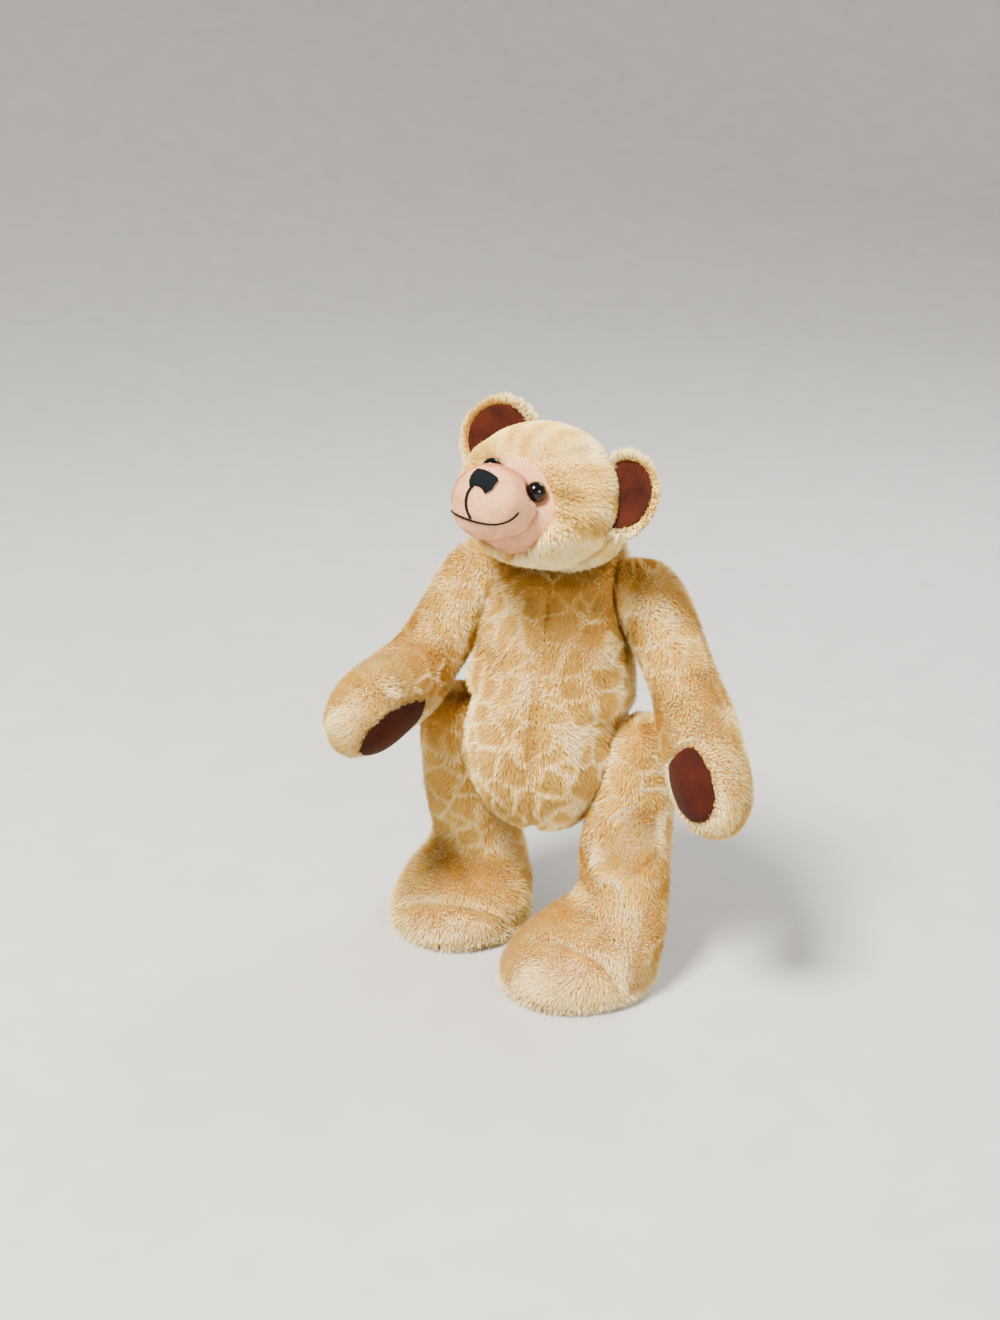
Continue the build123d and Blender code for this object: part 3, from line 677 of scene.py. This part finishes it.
# %% Roots on a skin
def planted(skin, count, seed, keep=None):
    """Roots and normals at `count` nearly even steps along the faces' summed area; a
    face counts only where keep is true of its middle. Inside its face a root is the
    first corner, plus random shares of the two sides that start there."""
    rng = np.random.default_rng(seed)
    mesh = skin.data
    tris = triangles_of(mesh)
    co, normal = corners_of(mesh), normals_of(mesh)
    a, b, c = (co[tris[:, i]] for i in range(3))
    area = np.linalg.norm(np.cross(b - a, c - a), axis=1) / 2
    if keep is not None:
        area = area * keep((a + b + c) / 3)
    line = np.cumsum(area)
    steps = (np.arange(count) + rng.uniform(size=count)) * line[-1] / count
    face = np.minimum(np.searchsorted(line, steps), len(line) - 1)
    s, t = rng.uniform(size=(2, count, 1))
    s, t = np.where(s + t > 1, 1 - s, s), np.where(s + t > 1, 1 - t, t)

    def blend(values):
        """A value at each root, mixed from its face's corners by the same shares."""
        v0, v1, v2 = (values[tris[face, i]] for i in range(3))
        return v0 + s * (v1 - v0) + t * (v2 - v0)

    return blend(co), unit(blend(normal)), rng


def in_box(points, others, reach):
    """True inside the box round the others, grown by reach on every side."""
    return ((points > others.min(0) - reach) & (points < others.max(0) + reach)).all(1)


def nearest_gap(points, others, reach):
    """How far each point is from the nearest of the others, up to reach, and the way
    from that one to the point."""
    gap, away = np.full(len(points), reach), np.zeros((len(points), 3))
    near = others[in_box(others, points, reach)]
    if len(near):
        tree = KDTree(len(near))
        for index, place in enumerate(near.tolist()):
            tree.insert(place, index)
        tree.balance()
        inside = in_box(points, near, reach)
        index = np.array([tree.find(p)[1] for p in points[inside].tolist()], int)
        off = points[inside] - near[index] if len(index) else np.zeros((0, 3))
        gap[inside] = np.minimum(reach, np.linalg.norm(off, axis=1))
        away[inside] = unit(off)
    return gap, away


def parted(part, root, comb, wish):
    """Along a seam the hairs lie away from the line, and the stitches hold down 0.45 of
    their length; both fade out from 0.6 to 4.5 mm off the line."""
    for line in SEAMS.get(part, []):
        gap, off = from_line(root, np.array(line) * MM)
        close = 1 - ease(gap, 0.6 * MM, 4.5 * MM)
        comb = comb + 1.6 * close[:, None] * off
        wish = wish * (1 - 0.45 * close)
    return comb, wish

# %% Scattered cells
# A cube's three whole numbers times TO_ROW pick its centre from a table; times
# TO_LABEL they add up to a label that no other cube near it has.
TO_ROW, TO_LABEL = [73, 179, 283], [1, 4001, 16008001]
CENTRES = np.random.default_rng(40).uniform(0.05, 0.95, (4096, 3))


def cells(points, across):
    """Each point's own cell, and how far the nearest and second nearest centres are.
    Centres are one to a cube `across` wide, thrown off the cube's middle; the points
    are pushed about first, so that the walls between cells wander."""
    push = drift(points, 2.2 * across) * 0.22 + drift(points, across) * 0.08
    moved = points + push * across
    cube = np.floor(moved / across).astype(np.int64)
    nearby = np.stack(np.meshgrid(*[[-1, 0, 1]] * 3), -1).reshape(-1, 3)
    first, second = np.full(len(points), 9.0), np.full(len(points), 9.0)
    own = np.zeros(len(points), np.int64)
    for step in nearby:
        home = cube + step
        centre = (home + CENTRES[(home @ TO_ROW) % len(CENTRES)]) * across
        d = np.linalg.norm(moved - centre, axis=1)
        own = np.where(d < first, home @ TO_LABEL, own)
        second = np.where(d < first, first, np.minimum(second, d))
        first = np.minimum(first, d)
    return own, first, second


def patches(points, across, normal):
    """0 on the lines between crushed patches, 1 well inside one. The lines are broader
    in some places than in others, and fade out where the pile was less crushed: here
    and there, and over the back, which faces +Y."""
    _, first, second = cells(points + drift(points, 0.8 * across) * 0.14 * across, across)
    broad = 0.21 + 0.08 * drift(points, 30 * MM)[:, 1]
    inside = ease(second - first, 0.03 * across, np.maximum(broad, 0.12) * across)
    calm = ease(drift(points, 42 * MM)[:, 2], 0.0, 1.2)
    back = ease(normal[:, 1] + 0.2 * drift(points, 25 * MM)[:, 0], -0.1, 0.8)
    fade = 0.3 * calm + 0.5 * back
    return inside + fade * (1 - inside)


# %% Blades
LOWER, UPPER = 0.55, 0.45           # shares of a hair below and above its bend
SUNK, FLOOR_GAP = 0.2 * MM, 0.15 * MM


def blades(name, root, normal, comb, length, rng, lean=(35, 62), width=0.28,
           tuft=1.7, gather=0.5, pale=None, finish="pile"):
    """Hairs of five corners: two at the root, two at the bend and one at the tip. A
    hair leaves the skin at the first lean and ends at the second (degrees from the
    normal, towards comb); its tip moves a share `gather` of the way to the mean tip
    of its tuft (a scattered cell `tuft` mm across). None goes under the floor."""
    count = len(root)
    comb = unit(comb - (comb * normal).sum(1, keepdims=True) * normal)
    sway = rng.normal(0, 0.32, (count, 1))
    comb = unit(comb * np.cos(sway) + np.cross(normal, comb) * np.sin(sway))
    slope = [np.radians(np.asarray(a) + rng.normal(0, 8, count))[:, None] for a in lean]
    grown = rng.uniform(0.75, 1.1, count) + 0.5 * rng.uniform(size=count) ** 8
    stride = (length * grown)[:, None]
    middle = root + stride * LOWER * (normal * np.cos(slope[0]) + comb * np.sin(slope[0]))
    tip = middle + stride * UPPER * (normal * np.cos(slope[1]) + comb * np.sin(slope[1]))
    _, group = np.unique(cells(root, tuft * MM)[0], return_inverse=True)
    size = np.bincount(group)
    centre = np.stack([np.bincount(group, tip[:, i]) / size for i in range(3)], axis=1)
    tip += gather * (centre[group] - tip)
    middle += 0.35 * gather * (centre[group] - tip)
    for level in (middle, tip):
        level[:, 2] = np.maximum(level[:, 2], FLOOR_GAP)
    aside = unit(np.cross(normal, comb)) * width * MM / 2
    sunk = root - normal * SUNK
    corners = np.stack([sunk - aside, sunk + aside, middle - aside * 0.8,
                        middle + aside * 0.8, tip], axis=1)
    first = np.arange(count)[:, None] * 5
    faces = [row for pair in zip((first + [0, 1, 3, 2]).tolist(),
                                 (first + [2, 3, 4]).tolist()) for row in pair]
    piece = new_piece(name, corners.reshape(-1, 3), faces)
    own = rng.uniform(size=count)
    pale = np.full(count, 0.5) if pale is None else pale
    write_on(piece.data, along=np.tile([0, 0, LOWER, LOWER, 1.0], count),
             pale=np.repeat(pale, 5), own=np.repeat(own, 5))
    # For baking, each hair has its own small square of the piece's UV map.
    columns = math.ceil(math.sqrt(count))
    cell_at = np.stack(np.divmod(np.arange(count), columns)[::-1], axis=1)[:, None]
    loops = np.array([[0.1, 0.05], [0.9, 0.05], [0.8, 0.5], [0.2, 0.5],
                      [0.2, 0.5], [0.8, 0.5], [0.5, 0.95]])
    chart = piece.data.uv_layers.new(name="OFBake")
    chart.data.foreach_set("uv", ((cell_at + loops) / columns).ravel())
    piece.data.materials.append(materials[finish])
    return piece


skin_points = {part: corners_of(skin.data) for part, skin in skins.items()}


def room(part, root, wish):
    """How long each hair can be, its wish or 0.85 of the gap to another body's skin,
    whichever is less; and whether that gap is wide enough to plant it."""
    others = [co for name, co in skin_points.items() if body_of[name] != body_of[part]]
    gap, _ = nearest_gap(root, np.vstack(others), 8 * MM)
    return np.minimum(wish, gap * 0.85), gap > 0.4 * MM

# %% [markdown]
# ## The face
# The muzzle cloth runs up between the eyes and down the cheeks, and the plush
# starts outside it. The face has its own axes: x to the bear's left, y up the
# face, z out through the nose. An oval in those axes is the edge of the pink
# cloth, and noise makes it ragged.

# %% Face axes and the cloth's edge
CLOTH_MIDDLE, CLOTH_UP, CLOTH_DOWN = -8, 20.5, 25      # the oval's heights, in mm
CLOTH_HALF, EYES_NARROWER = 26, 3                      # and its widths
FACE_AXES = np.array([[0.9349, -0.3115, -0.1702], [0.2645, 0.2914, 0.9193],
                      [-0.2367, -0.9045, 0.3548]])


def in_face(points):
    """Points in the face's own axes, in millimetres from the head's middle."""
    return (points - HEAD_MIDDLE) @ FACE_AXES.T / MM


def cloth_edge(points):
    """Above 0 on the pink cloth: 1 less the squared shares of the oval's two radii.
    The oval is narrower above the eyes."""
    x, y, z = in_face(points).T
    wide = CLOTH_HALF - EYES_NARROWER * ease(y, CLOTH_MIDDLE, 6)
    high = np.where(y > CLOTH_MIDDLE, CLOTH_UP, CLOTH_DOWN)
    inside = 1 - (x / wide) ** 2 - ((y - CLOTH_MIDDLE) / high) ** 2
    return np.where(z > 8, inside + 0.05 * drift(points, 3 * MM)[:, 0], -1)


edge, height = cloth_edge(skin_points["head"]), in_face(skin_points["head"])[:, 1]
write_on(skins["head"].data, pink=ease(edge, -0.06, 0.06), brow=ease(height, 2, 14))
ear_points = np.vstack([skin_points[side + "_ear"] for side in SIDES])
print("corners of the head under pink cloth:", int((edge > 0).sum()))

# %% Head pile
def head_layer(name, count, seed):
    """Smooth and short on the brow, longer at the jaw, brushed away from the nose, and
    short again where an ear stands in front. Its paleness is a sum: clouds, streaks
    that run out from the nose, the lines between patches, brow and jaw, less cheek."""
    root, normal, rng = planted(skins["head"], count, seed, lambda p: cloth_edge(p) < 0.02)
    x, y, _ = in_face(root).T
    outward = np.stack([x, y + 6, np.full(len(x), -8)], axis=1) @ FACE_AXES
    comb = unit(outward) + [0, 0, -0.35] + 0.25 * drift(root, 16 * MM)
    brow = ease(y, 4, 14)
    hem = ease(cloth_edge(root), -0.35, 0)
    jaw = ease(-y, 8, 18)
    wish = (4.4 - 2.0 * brow + hem * (2.2 * jaw - 0.8)) * MM
    comb = comb - 1.2 * (hem * jaw)[:, None] * FACE_AXES[1]
    wish = np.minimum(wish, 0.8 * MM + 0.8 * nearest_gap(root, ear_points, 8 * MM)[0])
    comb, wish = parted("head", root, comb, wish)
    length, free = room("head", root, wish)
    inner = patches(root, 15 * MM, normal)
    cheek = np.exp(-((np.abs(x) - 28) ** 2 + (y - 4) ** 2) / 12 ** 2)
    turn, out = np.arctan2(y + 6, x), np.hypot(x, y + 6)
    streak = drift(np.stack([turn * 30, out / 4, 0 * x], axis=1) * MM, 5 * MM)[:, 1]
    pale = (0.55 + 0.16 * drift(root, 18 * MM)[:, 0] + 0.2 * streak + 0.14 * brow
            + (1 - 0.6 * brow) * (0.34 - 0.3 * inner) - 0.4 * cheek + 0.2 * jaw)
    lean = (28 + 8 * brow[free], 50 + 10 * brow[free])
    return blades(name, root[free], normal[free], comb[free], length[free], rng,
                  lean=lean, tuft=2.2, gather=0.6, pale=np.clip(pale, 0, 1)[free])


piles = {"head": head_layer("head_pile", 60000, 1),
         "head_under": head_layer("head_under_pile", 40000, 11)}
body_of["head_under"] = "head"

# %% Nap on the pink cloth
for name, skin, count, keep in (
        ("muzzle_nap", "muzzle", 22000, None),
        ("cheek_nap", "head", 14000, lambda p: cloth_edge(p) > -0.02)):
    root, normal, rng = planted(skins[skin], count, 2, keep)
    comb = unit([0, -0.5, -0.8] + 0.5 * drift(root, 9 * MM))
    piles[name] = blades(name, root, normal, comb, np.full(len(root), 0.9 * MM), rng,
                         lean=(25, 50), width=0.2, tuft=0.8, gather=0.3,
                         finish="nap_pile")
    print(name, "hairs:", len(root))

# %% [markdown]
# ## Ears
# An ear is two rounds sewn at the rim and dished. Its fringe stands out past
# the suede lining all round, in small spikes. The ear's own plane is found
# from its points, as the two directions in which they spread furthest.

# %% Ear pile
for side in SIDES:
    part = side + "_ear"
    middle = skin_points[part].mean(0)
    facing = np.linalg.eigh(np.cov((skin_points[part] - middle).T))[1][:, 0]
    lining = corners_of(pads[part + "_lining"].data)
    facing = facing * np.sign(facing @ (lining.mean(0) - middle))
    root, normal, rng = planted(skins[part], 22000, 3)
    clear, _ = nearest_gap(root, lining, 4 * MM)
    from_middle = root - middle
    ahead = from_middle @ facing
    flat = from_middle - ahead[:, None] * facing
    rim = ease(np.linalg.norm(flat, axis=1), 14 * MM, 19 * MM)
    wish = (2.4 + 2.4 * rim) * MM
    length, free = room(part, root, wish)
    free &= clear > 0.9 * MM
    comb = unit(flat) + 0.35 * facing * rim[:, None] + 0.2 * drift(root, 9 * MM)
    piles[part] = blades(part + "_pile", root[free], normal[free], comb[free],
                         length[free], rng, lean=(25, 45), gather=0.65, tuft=2.0,
                         pale=0.62 + 0.38 * rim[free])
    print(part, "hairs:", int(free.sum()))

# %% [markdown]
# ## Body, arms and legs
# Down the body the pile is brushed towards the ground, along each limb towards
# its paw: first along the upper bone of the three points given, then along the
# lower. Round a suede pad the hairs are paler, and on the feet longer, and hang
# over the pad's edge. No hair is planted where a limb presses on the body.

# %% Torso pile
def torso_layer(name, count, seed):
    """Brushed down; pale and upright on the lines, dark and flatter inside a patch."""
    root, normal, rng = planted(skins["torso"], count, seed)
    comb = [0, -0.1, -1.0] + 0.5 * drift(root, 22 * MM)
    comb, wish = parted("torso", root, comb, np.full(len(root), 4.2 * MM))
    length, free = room("torso", root, wish)
    inner = patches(root, 14 * MM, normal)
    pale = 0.95 - 0.85 * inner + 0.12 * drift(root, 20 * MM)[:, 1]
    slope = (22 + 12 * inner[free], 38 + 22 * inner[free])
    return blades(name, root[free], normal[free], comb[free], length[free], rng,
                  lean=slope, pale=np.clip(pale, 0, 1)[free])


piles["torso"] = torso_layer("torso_pile", 64000, 4)
piles["torso_under"] = torso_layer("torso_under_pile", 40000, 14)
body_of["torso_under"] = "torso"

# %% Limb pile
BONES = {"left_arm": [(25, 40, 203), (56, 24, 150), (95, -34, 98)],
         "right_arm": [(-52, 45, 202), (-72, 12, 151), (-90, -68, 126)],
         "left_leg": [(26, 20, 100), (26, 10, 40), (30, -50, 2)],
         "right_leg": [(-50, 20, 100), (-50, 26, 40), (-52, -18, 2)]}
for part, bone in BONES.items():
    leg = part.endswith("leg")
    bone = np.array(bone) * MM
    upper, lower = unit(bone[1] - bone[0]), unit(bone[2] - bone[1])
    root, normal, rng = planted(skins[part], 66000, 5)
    pad = corners_of(pads[part.replace("arm", "paw").replace("leg", "foot") + "_pad"].data)
    gap, away = nearest_gap(root, pad, 9 * MM)
    edge = 1 - ease(gap, 1.5 * MM, 6 * MM)
    beyond = (root - bone[1]) @ lower
    reach = ease(beyond, -15 * MM, 15 * MM)[:, None]
    comb = upper * (1 - reach) + lower * reach
    comb = comb + 0.5 * drift(root, 20 * MM) + 1.5 * edge[:, None] * away
    comb, wish = parted(part, root, comb, (4.2 + (2.2 if leg else -0.9) * edge) * MM)
    length, free = room(part, root, wish)
    free &= gap > 0.8 * MM
    inner = patches(root, (14 if leg else 13) * MM, normal)
    end = ease(beyond, 10 * MM, 50 * MM)
    toes = ease(beyond, 38 * MM, 58 * MM) if leg else 0
    pale = (0.98 + 0.15 * end - (0.66 - 0.25 * end - 0.3 * toes) * inner
            + 0.12 * drift(root, 20 * MM)[:, 2] + 0.35 * edge)
    piles[part] = blades(part + "_pile", root[free], normal[free], comb[free],
                         length[free], rng, pale=np.clip(pale, 0, 1)[free],
                         lean=(22 + 10 * inner[free], 38 + 20 * inner[free]))
    print(part, "hairs:", int(free.sum()))
for part, hair in piles.items():
    "pink_nap" if "nap" in part else "mohair"
    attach(hair, body_of.get(part, "head"))

# %% [markdown]
# ## Nose, mouth and eyes
# The nose is worked in satin stitch: black threads laid side by side from top
# to bottom over a small pad. The mouth is one thicker thread. A thread is a
# profile carried along a path: rings of points round the path, with two small
# swellings that turn as they go, like the two plies of a twisted yarn.

# %% A twisted thread
def thread(path, thick, turn=1.6, around=8):
    """Rings round the path, radius (1 + 0.08 cos of twice the turning angle) of
    thick / 2; turn is how many millimetres of path make half a twist, after which
    the two plies have changed places. Returns corners, faces and the path."""
    ahead = unit(np.gradient(path, axis=0))
    first = unit(np.cross(ahead, FACE_AXES[2]))
    second = np.cross(ahead, first)
    angle = np.linspace(0, 2 * math.pi, around, endpoint=False)
    twist = angle[None] + (run_of(path) / (turn * MM) * math.pi)[:, None]
    radius = thick * MM / 2 * (1 + 0.08 * np.cos(2 * twist))
    radius[[0, -1]] *= 0.3
    ring = (first[:, None] * np.cos(angle)[None, :, None]
            + second[:, None] * np.sin(angle)[None, :, None])
    corners = (path[:, None] + ring * radius[..., None]).reshape(-1, 3)
    return corners, tube_faces(len(path), around), path


def gathered(name, tubes):
    """Several tubes as one piece, each closed at both ends by a point."""
    corners, faces, first = [], [], 0
    for points, quads, path in tubes:
        corners.append(np.vstack([points, path[[0, -1]]]))
        faces += (quads + first).tolist()
        count = len(points)
        ring = np.arange(count // len(path))
        for centre, start, step in ((count, 0, 1), (count + 1, count - len(ring), -1)):
            a, b = start + ring, start + np.roll(ring, -step)
            cap = np.stack([b, a, np.full(len(ring), centre)], axis=1) + first
            faces += cap.tolist()
        first += count + 2
    return new_piece(name, np.vstack(corners), faces)


def tree_of(mesh):
    """The mesh's triangles, sorted so that a line or a point finds the nearest fast."""
    return BVHTree.FromPolygons(corners_of(mesh).tolist(), triangles_of(mesh).tolist())


def laid_on(tree, path, lift):
    """Each point's nearest place on a skin, plus lift (metres) along the skin's normal."""
    found = [tree.find_nearest(Vector(p))[:2] for p in path]
    spot, normal = np.array(found).transpose(1, 0, 2)
    return spot + normal * lift


# %% Satin-stitched nose
THREAD_GAP, THREAD_LIFT = 0.5, 0.05                    # mm
nose_tree = tree_of(nodes["nose"].data)
flat = in_face(corners_of(nodes["nose"].data))
low, high = flat.min(0), flat.max(0)
tubes = []
for across in np.arange(low[0] + 0.3, high[0] - 0.2, THREAD_GAP):
    found = []
    for up in np.linspace(high[1], low[1], 60):
        start = HEAD_MIDDLE + np.array([across, up, 90]) * MM @ FACE_AXES
        hit = nose_tree.ray_cast(Vector(start), Vector(-FACE_AXES[2]), 0.12)[0]
        if hit is not None:
            found.append(np.array(hit) + FACE_AXES[2] * THREAD_LIFT * MM)
    if len(found) > 5:
        tubes.append(thread(np.array(found[::2]), 0.72, turn=3.0, around=6))
nose = gathered("nose_satin_stitch", tubes)
nose.data.materials.append(materials["thread"])
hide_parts("nose")
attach(nose, "head")
print("satin stitches:", len(tubes), "from x", round(low[0], 1), "to", round(high[0], 1))

# %% Mouth
muzzle_tree = tree_of(skins["muzzle"].data)


def stitched(points, thick):
    """A thread laid on the muzzle near the given points of the face (mm): each of x, y
    and z is the polynomial of the fourth degree that fits them best."""
    points = np.array(points)
    run = run_of(points)
    even = np.linspace(0, run[-1], 48)
    path = np.stack([np.polyval(np.polyfit(run, v, 4), even) for v in points.T], axis=1)
    path = laid_on(muzzle_tree, HEAD_MIDDLE + path * MM @ FACE_AXES, 0.7 * MM)
    return thread(path, thick, turn=2.0)


mouth = gathered("mouth_thread", [
    stitched([(-3.0, -7, 54), (-4.2, -12, 54), (-3.2, -15.6, 53.5), (-1.2, -18.8, 53),
              (2.2, -21.6, 52)], 1.35),
    stitched([(-16, -21.6, 42), (-12.5, -22.6, 46), (-7.4, -23.2, 49.7),
              (-1.7, -22.9, 51.9), (2.6, -22.3, 52.2), (7.2, -21.9, 51.4),
              (11.9, -21, 49.8), (15.2, -19.3, 48.2), (17.6, -16.6, 46.5),
              (19, -13.4, 44.5), (19.6, -10, 42)], 1.0)])
mouth.data.materials.append(materials["thread"])
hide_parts("mouth_stitches")
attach(mouth, "head")
print("mouth corners:", len(mouth.data.vertices))

# %% Stitches down the tummy and back
STITCH, PITCH, BOW = 1.9 * MM, 3.4 * MM, 0.7 * MM
stitches = []
torso_tree = tree_of(skins["torso"].data)
for line in SEAMS["torso"]:
    line = np.array(line) * MM
    run = run_of(line)
    for start in np.arange(4 * MM, run[-1] - 4 * MM, PITCH):
        t = start + np.linspace(0, STITCH, 7)
        path = np.stack([np.interp(t, run, line[:, i]) for i in range(3)], axis=1)
        bow = np.sin(np.linspace(0, math.pi, 7))[:, None] * BOW
        stitches.append(thread(laid_on(torso_tree, path, bow), 0.55, turn=1.2, around=6))
seam_thread = gathered("seam_stitches", stitches)
seam_thread.data.materials.append(materials["seam"])
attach(seam_thread, "torso")
print("seam stitches:", len(stitches))

# %% Eyes
for side in SIDES:
    refinish(side + "_eye", materials["glass"])
print("glass eyes:", len(SIDES))

# %% [markdown]
# ## Floor and light
# A pale floor that rises into a wide bowl has no edge or corner to show from any
# side. Three large soft lamps stand in for a studio: one high in front
# and to the left, a weaker one to the right, and one behind for the rims.

# %% Studio
BOWL_RADIUS = [0, 1.2, 1.6, 2.0, 2.35, 2.6, 2.75, 2.8]
BOWL_HEIGHT = [0, 0, 0.03, 0.13, 0.33, 0.65, 1.1, 1.8]
UP = np.array([0, 0, 1.0])
floor = new_piece("floor", *hoops(np.outer(BOWL_HEIGHT, UP), BOWL_RADIUS, UP, around=96))
paper = Finish("studio_paper", Roughness=0.9)
grain = paper.noise(30, 2)
floor.data.materials.append(paper.feed(Base_Color=paper.ramp(
    grain, (0.3, (0.50, 0.49, 0.475)), (0.7, (0.535, 0.525, 0.51)))))
floor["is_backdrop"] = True
LIT = Vector((0, 0, 0.14))


def lamp(name, at, size, power, tint=(1, 1, 1)):
    """A round lamp of this width (metres) and power (watts), turned to the bear."""
    light = bpy.data.objects.new(name, bpy.data.lights.new(name, "AREA"))
    light.data.shape, light.data.size = "DISK", size
    light.data.energy, light.data.color = power, tint
    at = Vector(at)
    turned = (LIT - at).to_track_quat("-Z", "Y")
    light.matrix_world = Matrix.Translation(at) @ turned.to_matrix().to_4x4()
    bpy.context.scene.collection.objects.link(light)


lamp("key", (-0.42, -0.72, 1.45), 0.5, 92, (1, 0.95, 0.85))
lamp("fill", (1.0, -0.7, 0.6), 0.6, 12, (1, 0.96, 0.9))
lamp("rim", (0.3, 1.0, 1.1), 0.6, 18)
world = bpy.data.worlds.new("room")
bpy.context.scene.world = world
world.use_nodes = True
sky = world.node_tree.nodes["Background"].inputs
sky["Color"].default_value, sky["Strength"].default_value = (1, 0.97, 0.93, 1), 0.35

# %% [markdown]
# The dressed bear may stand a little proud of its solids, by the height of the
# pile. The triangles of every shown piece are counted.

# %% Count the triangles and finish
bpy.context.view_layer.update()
print("triangles:", sum(len(triangles_of(o.data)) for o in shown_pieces() if o.type == "MESH"))
